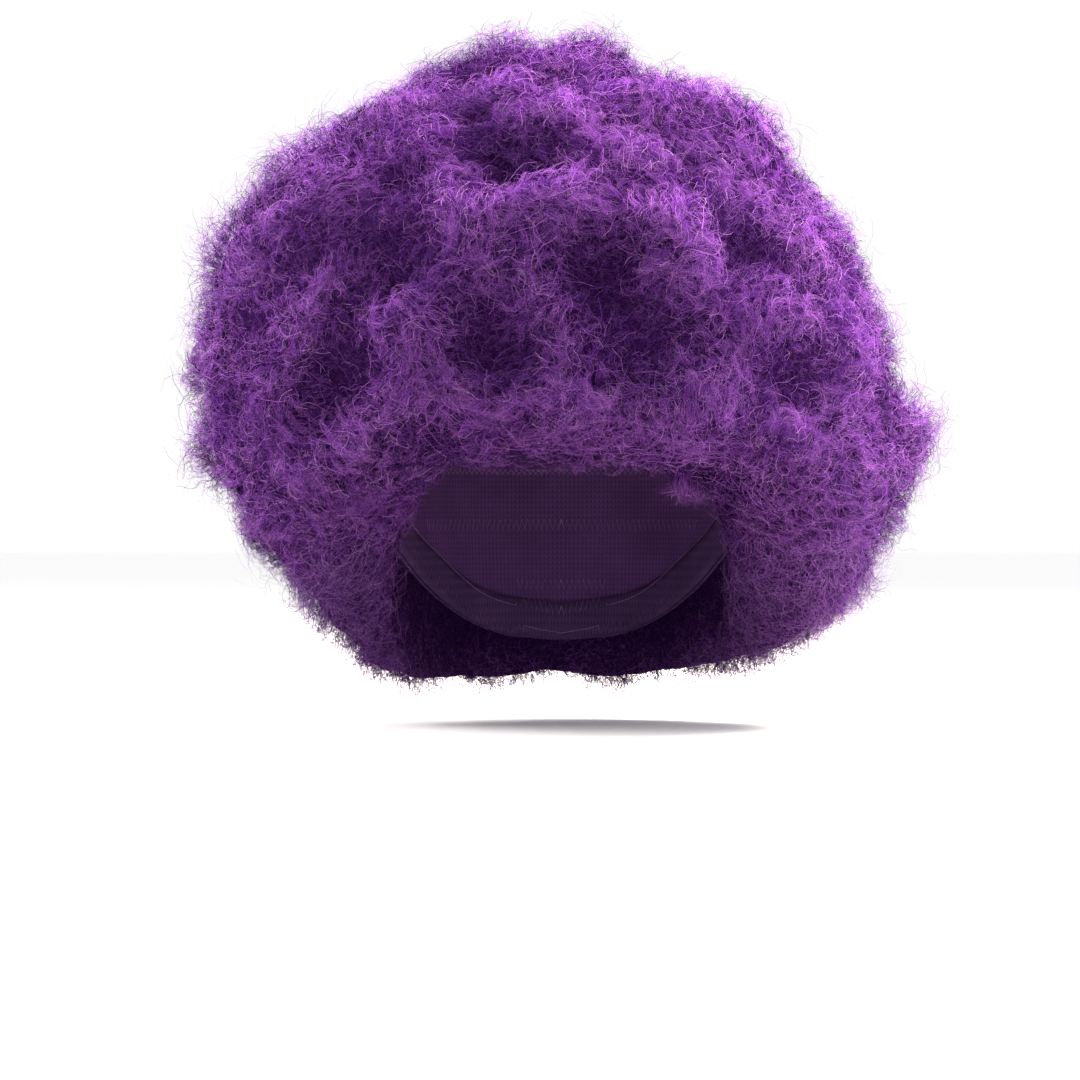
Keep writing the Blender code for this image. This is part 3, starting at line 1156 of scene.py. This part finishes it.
@dataclass(frozen=True)
class Sewn:
    """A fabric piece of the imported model, rounded off. It stands for its node."""

    node: str
    finish: KnitFinish
    rim: Edge
    sharp: float = math.radians(40)
    smooth: float = math.radians(50)
    weld: float = 0.00002
    rim_fade: float = 0.030

    def build(self) -> bpy.types.Object:
        """Makes the piece.

        Returns:
            The new object.
        """
        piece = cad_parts[self.node].copy()
        piece.data = piece.data.copy()
        piece.name = piece.data.name = f"{self.node}_fabric"
        piece.data.materials.clear()
        bpy.context.scene.collection.objects.link(piece)
        quadded(piece, self.weld)
        self._crease(piece.data)
        rounded(piece)
        apply_all(piece)
        self._round_rim(piece.data)
        piece.data.shade_smooth()
        bpy.ops.object.shade_smooth_by_angle(angle=self.smooth)
        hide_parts(self.node)
        placed(piece, self.finish.material())
        return piece

    def _crease(self, mesh: bpy.types.Mesh) -> None:
        """Keeps the cut edges of the cloth sharp where the rest is rounded.

        Args:
            mesh: the cloth's mesh.
        """
        cloth = bmesh.new()
        cloth.from_mesh(mesh)
        creases = cloth.edges.layers.float.new("crease_edge")
        for edge in cloth.edges:
            edge[creases] = float(edge.calc_face_angle(0.0) > self.sharp)
        cloth.to_mesh(mesh)
        cloth.free()

    def _round_rim(self, mesh: bpy.types.Mesh) -> None:
        """Takes the corners out of the lower edge, less and less further up the cloth.

        Args:
            mesh: the cloth's mesh.
        """
        for vertex in mesh.vertices:
            place = np.array(vertex.co)
            azimuth = azimuth_of(place)
            up = max(0.0, place[2] - float(self.rim.at(azimuth)))
            vertex.co.z += float(self.rim.rounding(azimuth)) * math.exp(-up / self.rim_fade)


@dataclass(frozen=True)
class Stitching:
    """Zigzag rows of thread inside: those that hold the hair on the cap, and the band's two."""

    rim: Edge
    band_top: Edge
    row_pitch: float = 0.0125
    row_count: int = 15
    first_row: float = 0.022
    pitch: float = 0.0034
    swing: float = 0.0012
    thread: float = 0.00055
    proud: float = 0.0003
    band_inset: float = 0.0030
    band_gap: float = 0.003
    least_points: int = 5

    def build(self, material: bpy.types.Material, cap: bpy.types.Object, band: bpy.types.Object) -> None:
        """Makes the pieces of thread.

        Args:
            material: their finish.
            cap: the cap's cloth, which the rows lie on.
            band: the band's cloth.
        """
        rows = [line for row in range(self.row_count) for line in self._cap_row(row)]
        self._piece("cap_stitches", "cap", [self._seated(line, cap) for line in rows], material)
        edges = [self._band_row(self.rim, self.band_inset), self._band_row(self.band_top, -self.band_inset)]
        self._piece("band_stitches", "edge_band", [self._seated(line, band) for line in edges], material)

    def _seated(self, line: Array, cloth: bpy.types.Object) -> Array:
        """The line, laid on the inner side of the cloth.

        Args:
            line: the thread's middle line, near the cloth.
            cloth: the piece that it lies on.

        Returns:
            The moved line, without the points that have no cloth behind them.
        """
        mesh = cloth.data
        tree = BVHTree.FromPolygons([v.co for v in mesh.vertices], [p.vertices for p in mesh.polygons])
        middle = Vector(-UP * HEAD.widest_drop)
        found = []
        for point in line:
            ray = (Vector(point) - middle).normalized()
            hit = tree.ray_cast(middle, ray)[0]
            if hit is not None:
                found.append(tuple(hit - ray * self.proud))
        return np.array(found)

    def _zigzag(self, azimuth: Array, polar: Array) -> Array:
        """A zigzag line about a line on the head."""
        swing = self.swing * np.where(np.arange(len(azimuth)) % 2, 1.0, -1.0) / HEAD.half_length
        return HEAD.point(azimuth, polar + swing)

    def _columns(self, share: float = 1.0) -> Array:
        """The azimuths of the turns of a zigzag that goes all round, on a share of the head's girth."""
        return np.linspace(-math.pi, math.pi, int(TURN * HEAD.half_length * share / self.pitch) * 2 + 1)

    def _cap_row(self, row: int) -> list[Array]:
        """The zigzag lines of one row, where it lies above the band.

        Args:
            row: the number of the row, from the crown.

        Returns:
            One line for each unbroken stretch.
        """
        polar = (self.first_row + row * self.row_pitch) / ((HEAD.half_breadth + HEAD.half_length) / 2)
        azimuth = self._columns(math.sin(min(polar, math.pi / 2)))
        line = self._zigzag(azimuth, np.full_like(azimuth, polar))
        clear = line[:, 2] > self.band_top.at(azimuth) + self.band_gap
        breaks = np.flatnonzero(np.diff(clear.astype(int))) + 1
        stretches = zip(np.split(line, breaks), np.split(clear, breaks))
        return [part for part, kept in stretches if kept[0] and len(part) >= self.least_points]

    def _band_row(self, edge: Edge, inset: float) -> Array:
        """The zigzag line beside one edge of the band.

        Args:
            edge: the band's edge.
            inset: how far above the edge the line runs.

        Returns:
            The line.
        """
        azimuth = self._columns()
        up = edge.at(azimuth) + inset + HEAD.widest_drop
        return self._zigzag(azimuth, np.arccos(up / np.where(up > 0, HEAD.rise, HEAD.fall)))

    def _piece(self, name: str, slot: str, lines: list[Array], material: bpy.types.Material) -> None:
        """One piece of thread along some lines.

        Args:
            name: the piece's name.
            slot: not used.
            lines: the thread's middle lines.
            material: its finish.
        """
        parts = []
        for line in lines:
            away = unit(line + UP * HEAD.widest_drop)
            mesh = Ribbons.along(line[None], -away[None], np.full((1, len(line)), self.thread / 2))
            share = np.linspace(0, 1, len(line))
            u = np.stack([share[:-1], share[:-1], share[1:], share[1:]], -1)
            places = np.stack([u, np.broadcast_to([0.0, 1.0, 1.0, 0.0], u.shape)], -1).reshape(-1, 2)
            parts.append(Ribbons(*mesh, places, -np.repeat(away, 2, axis=0)))
        Ribbons.joined(parts).piece(name, slot, material)


@dataclass(frozen=True)
class Lamp:
    """A soft square lamp: its place, width, power in watts and colour."""

    name: str
    place: Triple
    side: float
    power: float
    colour: Colour = (1.0, 1.0, 1.0)

    def put_up(self, aim: Triple) -> None:
        """Makes the lamp.

        Args:
            aim: the place that it points at.
        """
        light = bpy.data.lights.new(self.name, "AREA")
        light.size = self.side
        light.energy = self.power
        light.color = self.colour
        obj = bpy.data.objects.new(self.name, light)
        bpy.context.scene.collection.objects.link(obj)
        obj.location = self.place
        obj.rotation_euler = (Vector(aim) - obj.location).to_track_quat("-Z", "Y").to_euler()


@dataclass(frozen=True)
class Studio:
    """The floor, the lights and the camera."""

    camera_place: Triple = (-0.010, -2.205, -0.119)
    lens: float = 163.0
    sensor: float = 36.0
    far: float = 50.0
    aim: Triple = (0.0, 0.0, -0.05)
    floor_side: float = 60.0
    floor_gap: float = 0.001
    floor_grain: float = 90.0
    floor_dim: Colour = (0.93, 0.93, 0.93)
    floor_pale: Colour = (0.96, 0.96, 0.96)
    bounce: Colour = (0.30, 0.30, 0.30)
    world_strength: float = 1.01
    lamps: tuple[Lamp, ...] = (
        Lamp("key", (1.7, -0.7, 1.6), 1.0, 5.0),
        Lamp("side_left", (-1.8, 0.4, 0.55), 1.2, 80.0, (1.0, 0.93, 0.90)),
        Lamp("side_right", (1.9, 0.0, 0.12), 0.5, 27.0),
        Lamp("top_right", (1.25, 0.5, 1.75), 1.0, 165.0, (1.0, 0.86, 0.76)),
        Lamp("top_back", (0.6, 0.70, 2.0), 1.2, 315.0, (1.0, 0.92, 0.84)),
    )

    def build(self) -> None:
        """Makes the floor, the world, the lights and the camera."""
        self._floor()
        world = bpy.data.worlds.new("white_surround")
        world.use_nodes = True
        back = world.node_tree.nodes["Background"]
        back.inputs["Color"].default_value = (1.0, 1.0, 1.0, 1.0)
        back.inputs["Strength"].default_value = self.world_strength
        bpy.context.scene.world = world
        for lamp in self.lamps:
            lamp.put_up(self.aim)
        self._camera()

    def _floor(self) -> None:
        """A large pale floor just under the hair, which throws less light back than it shows."""
        bpy.ops.object.select_all(action="DESELECT")
        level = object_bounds()[0].z - self.floor_gap
        bpy.ops.mesh.primitive_plane_add(size=self.floor_side, location=(0, 0, level))
        floor = bpy.context.object
        floor.name = "floor"
        material, nodes = start_material("pale_floor")
        grain = nodes.noise(nodes.place(), self.floor_grain, 3.0)
        tint = nodes.mix(grain, self.floor_dim, self.floor_pale)
        seen = nodes.add("ShaderNodeLightPath").outputs["Is Camera Ray"]
        nodes.dress(Base_Color=nodes.mix(seen, self.bounce, tint), Roughness=0.7, Specular_IOR_Level=0.2)
        floor.data.materials.append(material)
        floor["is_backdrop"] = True

    def _camera(self) -> None:
        """The camera at the photograph's angle."""
        lens = bpy.data.cameras.new("camera")
        lens.lens = self.lens
        lens.sensor_width = self.sensor
        lens.clip_end = self.far
        camera = bpy.data.objects.new("camera", lens)
        bpy.context.scene.collection.objects.link(camera)
        camera.location = self.camera_place
        camera.rotation_euler = (math.pi / 2, 0.0, 0.0)
        bpy.context.scene.camera = camera


class Wig:
    """The whole wig: the core, the strands over it, the cap and its band."""

    # Each coat's tone range carries painted light and shade: the ground coat runs dark, as painted shade deep
    # in the hair, and the wisps, tufts and forelock that stand out further run lighter.
    GROUND_COAT = StrandSize(
        count=30000, length=(0.010, 0.020), width=(0.00016, 0.00026), bend=(1.5, 5.2), lift=(0.1, 0.6),
        reach=(0.0005, 0.0040), tone=(0.0, 0.6), root_depth=0.0045, tone_spread=0.06,
    )
    CURLS = StrandSize(
        count=12500, length=(0.011, 0.022), width=(0.0020, 0.0032), bend=(1.2, 4.6), lift=(0.2, 0.7),
        reach=(0.0015, 0.0060), tone=(0.15, 0.95), segments=7, tip_width=0.8, looseness=0.6,
        facing_spread=0.3, bundle=True,
    )
    # Thin strands in the painted-light fibre, standing for fibres that catch the light.
    HIGHLIGHT_HAIRS = StrandSize(
        count=13000, length=(0.008, 0.018), width=(0.00010, 0.00015), bend=(2.5, 7.5), lift=(0.25, 0.8),
        reach=(0.0020, 0.0080), tone=(0.1, 0.95), tip_width=0.8, looseness=1.0, tone_spread=0.25,
    )
    WISPS = StrandSize(
        count=8200, length=(0.016, 0.034), width=(0.00009, 0.00014), bend=(1.2, 6.0), lift=(0.6, 1.0),
        reach=(0.005, 0.016), tone=(0.3, 1.0), tip_width=0.8, looseness=1.5,
    )
    TUFTS = StrandSize(
        count=4000, length=(0.014, 0.028), width=(0.00013, 0.00020), bend=(0.8, 3.8), lift=(0.6, 1.0),
        reach=(0.005, 0.013), tone=(0.2, 0.9), tip_width=0.6, looseness=0.9,
    )
    HEM_LOCKS = StrandSize(
        count=3900, length=(0.016, 0.040), width=(0.00010, 0.00016), bend=(0.5, 4.2), lift=(0.1, 0.7),
        reach=(0.006, 0.026), tone=(0.0, 0.5), root_depth=0.004, droop=1.7, clearance=0.0008,
    )
    INSIDE_COAT = StrandSize(
        count=3000, length=(0.008, 0.018), width=(0.00022, 0.00036), bend=(0.5, 3.5), lift=(0.1, 0.35),
        reach=(0.0003, 0.0016), tone=(0.0, 0.6), root_depth=0.0015, droop=0.5, clearance=0.0008,
    )
    FORELOCK = StrandSize(
        count=420, length=(0.010, 0.021), width=(0.00012, 0.00020), bend=(0.3, 2.0), lift=(0.7, 1.0),
        reach=(0.014, 0.022), tone=(0.5, 1.0), segments=7, root_depth=0.003, droop=1.6, looseness=0.4,
        clearance=0.0008,
    )
    FRINGE = StrandSize(
        count=1500, length=(0.008, 0.018), width=(0.00010, 0.00018), bend=(0.5, 3.5), lift=(0.1, 0.4),
        reach=(0.001, 0.005), tone=(0.1, 0.8), root_depth=0.003, droop=0.5, clearance=0.0008,
    )
    CURLED_FIBRES = (
        (0.09, 0.06, 5.0, 17.0), (0.29, 0.09, 7.0, 31.0), (0.50, 0.11, 6.0, 11.0), (0.70, 0.09, 8.0, 23.0),
        (0.90, 0.06, 5.5, 13.0),
    )
    FLOW_LENGTH = 0.055
    WIDE_TUFT, SMALL_TUFT = 0.045, 0.018
    CURL_HANG = (0.001, 0.007)
    LOCK_HANG = (0.004, 0.034)
    TUFT_PLACES = (
        (-0.166, -0.010), (-0.160, 0.018), (-0.142, 0.050), (-0.125, 0.064), (-0.060, 0.095),
        (-0.030, 0.108), (0.030, 0.098), (-0.164, -0.075), (0.155, -0.070), (0.085, -0.170),
        (-0.090, -0.175), (0.125, -0.145), (0.068, -0.176), (0.160, -0.030), (0.120, 0.070),
    )
    TUFT_SIZE = 0.014
    TUFT_DEPTH = 0.050
    FORELOCK_X = 0.053
    FORELOCK_SIZE = 0.005
    FORELOCK_RISE = (0.0, 0.001)
    FORELOCK_HANG = (0.010, 0.022)
    AHEAD = (-0.06, 0.06)
    FRONT_SHARE = 0.35
    WALL_INSIDE = 0.007
    CAP_GAP = 0.002
    FRINGE_RISE = 0.010
    FRINGE_REACH = 0.03
    FRINGE_ENDS = (0.6, 1.1)
    LOCK_RISE = 0.022
    LOCK_GAP = 0.004
    LOCK_ENDS = (0.8, 1.1)

    def __init__(self) -> None:
        """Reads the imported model's hair and prepares the fields that the strands follow."""
        self.rng = np.random.default_rng(SEED)
        self.ground = Ground(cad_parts["hair"])
        self.flow = Swirl(self.rng, self.FLOW_LENGTH)
        self.clumps = Clumps(Swirl(self.rng, self.WIDE_TUFT), Swirl(self.rng, self.SMALL_TUFT))
        self.rim = Edge(corners_of(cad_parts["cap"]))
        self.band_top = Edge(corners_of(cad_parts["edge_band"]), highest=True)
        self.outline = Outline(self.ground.hem)

    def build(self) -> None:
        """Makes every piece of the wig."""
        HairCore().build(self.ground, MatFinish().material())
        self._coats()
        cap = Sewn("cap", KnitFinish("stretch_knit"), self.rim).build()
        # Its colours are the painted shade in the dips and the painted light on the loops' crowns.
        elastic = KnitFinish(
            "ribbed_elastic", (0.028, 0.011, 0.045), (0.125, 0.060, 0.185), row=0.0045, loop=0.0017,
            roughness=0.7,
        )
        band = Sewn("edge_band", elastic, self.rim).build()
        Stitching(self.rim, self.band_top).build(ThreadFinish().material(), cap, band)

    def _above_hem(self, points: Array) -> Array:
        """How far the points lie above the hair's lower edge."""
        return points[:, 2] - self.ground.hem.at(azimuth_of(points))

    def _outside(self, points: Array) -> Array:
        """How densely the outer coats grow: rather more in front than behind."""
        ahead = smooth_step(*self.AHEAD, -points[:, 1])
        return (1 + self.FRONT_SHARE * ahead) * (HEAD.distance_off(points) > self.WALL_INSIDE)

    def _in_tufts(self, points: Array) -> Array:
        """How densely the tufts that stand out of the outline grow.

        Args:
            points: places as rows of x, y and z.

        Returns:
            A density for each point.
        """
        near = [
            np.exp(-(((points[:, 0] - x) ** 2 + (points[:, 2] - z) ** 2) / self.TUFT_SIZE**2))
            for x, z in self.TUFT_PLACES
        ]
        in_depth = np.exp(-((points[:, 1] / self.TUFT_DEPTH) ** 2))
        return np.sum(near, axis=0) * in_depth * self._outside(points)

    def _inside(self, points: Array) -> Array:
        """How densely the inside coat grows: only below the cap's edge."""
        under_cap = points[:, 2] > self.rim.at(azimuth_of(points)) + self.CAP_GAP
        return (HEAD.distance_off(points) < self.WALL_INSIDE) & ~under_cap

    def _fringe(self, points: Array) -> Array:
        """How densely the fringe grows: only along the front hem."""
        near = (self._above_hem(points) < self.FRINGE_RISE) * (HEAD.distance_off(points) < self.FRINGE_REACH)
        return near * (1 - smooth_step(*self.FRINGE_ENDS, np.abs(azimuth_of(points))))

    def _low(self, points: Array) -> Array:
        """How densely the locks of the lower edge grow: beside the front opening and behind."""
        near = (self._above_hem(points) < self.LOCK_RISE) * (HEAD.distance_off(points) > self.LOCK_GAP)
        return near * smooth_step(*self.LOCK_ENDS, np.abs(azimuth_of(points)))

    def _forelock(self, points: Array) -> Array:
        """How densely the forelock grows: in one small tuft of the fringe."""
        return self._fringe(points) * np.exp(-(((points[:, 0] - self.FORELOCK_X) / self.FORELOCK_SIZE) ** 2))

    def _grown(
        self, size: StrandSize, growth: Callable[[Array], Array], outline: Outline | None = None
    ) -> tuple[Array, Ribbons]:
        """One coat's roots and ribbons.

        Args:
            size: the coat's sizes.
            growth: how dense it is, at any rows of points.
            outline: how far the strands may hang or stand out, where it isn't the wig's own.

        Returns:
            The roots' places, and the mesh.
        """
        roots = self.ground.scatter(self.rng, size.count, growth)
        strands = Strands(size, self.rng, self.flow, self.clumps, outline or self.outline)
        return roots.points, strands.ribbons(roots)

    def _coats(self) -> None:
        """Grows all the coats, as one piece each or one for each region."""
        fibre = StrandFinish("strand_fibre").material()
        # Painted light: a lighter copy of the strand fibre, for fibres that catch the light and for the hem's
        # locks, shaded from below, as if light came through them.
        painted_light = StrandFinish(
            "highlight_fibre", (0.075, 0.016, 0.150), (0.190, 0.065, 0.310), (0.370, 0.175, 0.490),
            (0.620, 0.370, 0.680),
        ).material()
        curled = StrandFinish(
            "curled_fibre", fade=0.3, fibres=self.CURLED_FIBRES, fibre_half=0.024
        ).material()
        sheer = StrandFinish("sheer_fibre", fade=0.5).material()
        roots, ground = self._grown(self.GROUND_COAT, self._outside)
        for i, region in enumerate(Region):
            ground.taken(Region.of(roots) == i).piece(f"hair_{region.value}", "hair", fibre)
        hem = self.ground.hem
        roots, curls = self._grown(self.CURLS, self._outside, Outline(hem, hang_behind=self.CURL_HANG))
        in_front = roots[:, 1] < 0
        curls.taken(in_front).piece("curls_front", "hair", curled)
        curls.taken(~in_front).piece("curls_back", "hair", curled)
        low = Outline(hem, hang_behind=self.LOCK_HANG)
        hanging = Outline(hem, self.FORELOCK_RISE, self.FORELOCK_HANG)
        for name, size, growth, finish, outline in (
            ("highlight_hairs", self.HIGHLIGHT_HAIRS, self._outside, painted_light, None),
            ("hair_wisps", self.WISPS, self._outside, fibre, None),
            ("hair_tufts", self.TUFTS, self._in_tufts, fibre, None),
            ("hem_locks", self.HEM_LOCKS, self._low, painted_light, low),
            ("hair_inside", self.INSIDE_COAT, self._inside, fibre, None),
            ("forelock", self.FORELOCK, self._forelock, fibre, hanging),
            ("hair_fringe", self.FRINGE, self._fringe, sheer, None),
        ):
            self._grown(size, growth, outline)[1].piece(name, "hair", finish)


def main() -> None:
    """Builds the wig and the studio, and writes how large the wig has become."""
    logging.basicConfig(level=logging.INFO, format="%(name)s: %(message)s")
    Wig().build()
    Studio().build()
    bpy.context.scene.view_settings.view_transform = "Standard"


if __name__ == "__main__":
    main()
